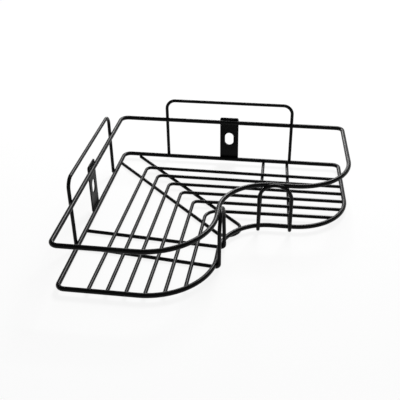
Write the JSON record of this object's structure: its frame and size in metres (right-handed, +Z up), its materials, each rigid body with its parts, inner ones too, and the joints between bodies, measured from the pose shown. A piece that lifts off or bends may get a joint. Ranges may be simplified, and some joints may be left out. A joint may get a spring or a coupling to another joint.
{
  "type": "shower caddy",
  "caption": "Black wire corner shower caddy: L-shaped open tray of nested slats with a raised rim, wall loops, hoop brackets and slotted hanging plates.",
  "frame": {"origin": "centre of the footprint, at the underside of the lowest wires", "axes": "+X right along the back wall, +Y towards the back wall, +Z up; the left wall is on the -X side"},
  "size_m": [0.2429, 0.243, 0.0705],
  "materials": {
    "wire_coat": "satin black powder coat on steel wire",
    "plate_coat": "satin black powder coat on sheet steel",
    "weld_coat": "satin black powder coat, gathered round the welds"
  },
  "bodies": {
    "root": {"base_frame": "wire_coat", "rim": "wire_coat", "slat_1": "wire_coat", "slat_2": "wire_coat", "slat_3": "wire_coat", "slat_4": "wire_coat", "slat_5": "wire_coat", "slat_6": "wire_coat", "back_bracket": "wire_coat", "left_bracket": "wire_coat", "corner_support": "wire_coat", "back_loop": "wire_coat", "left_loop": "wire_coat", "back_plate": "plate_coat", "left_plate": "plate_coat", "slat_end_welds": "weld_coat", "slat_crossing_welds": "weld_coat", "support_welds": "weld_coat", "hoop_welds": "weld_coat", "loop_welds": "weld_coat", "plate_welds": "weld_coat"}
  },
  "joints": []
}
